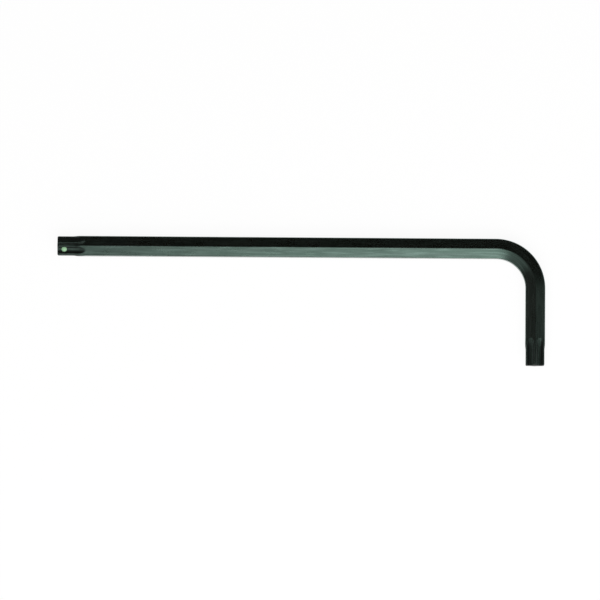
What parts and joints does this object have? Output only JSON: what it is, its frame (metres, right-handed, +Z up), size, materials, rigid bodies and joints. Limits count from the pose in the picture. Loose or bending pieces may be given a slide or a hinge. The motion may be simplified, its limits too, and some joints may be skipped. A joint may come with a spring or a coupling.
{
  "type": "star key",
  "caption": "L-shaped star key bent from dark hexagon bar, with a star tip on each arm and a springy holding insert in the long arm's tip.",
  "frame": {"origin": "middle of the key's footprint, on the surface that it lies flat on", "axes": "+X along the long arm towards the bend, +Y from the short arm's tip towards the long arm, +Z up, square to the L"},
  "size_m": [0.118, 0.0306, 0.0054],
  "materials": {
    "dark_steel": "drawn bar with a thin dark satin oxide, slightly green-grey",
    "green_nylon": "pale green, slightly waxy"
  },
  "bodies": {
    "bar": {"key_bar": "dark_steel"},
    "insert": {"holding_insert": "green_nylon"}
  },
  "joints": [
    {"name": "insert_press", "type": "slide", "parent": "bar", "child": "insert", "axis": [0, 0.5, -0.866], "range_m": [0, 0.0002], "stiffness_N_per_m": 20000}
  ]
}
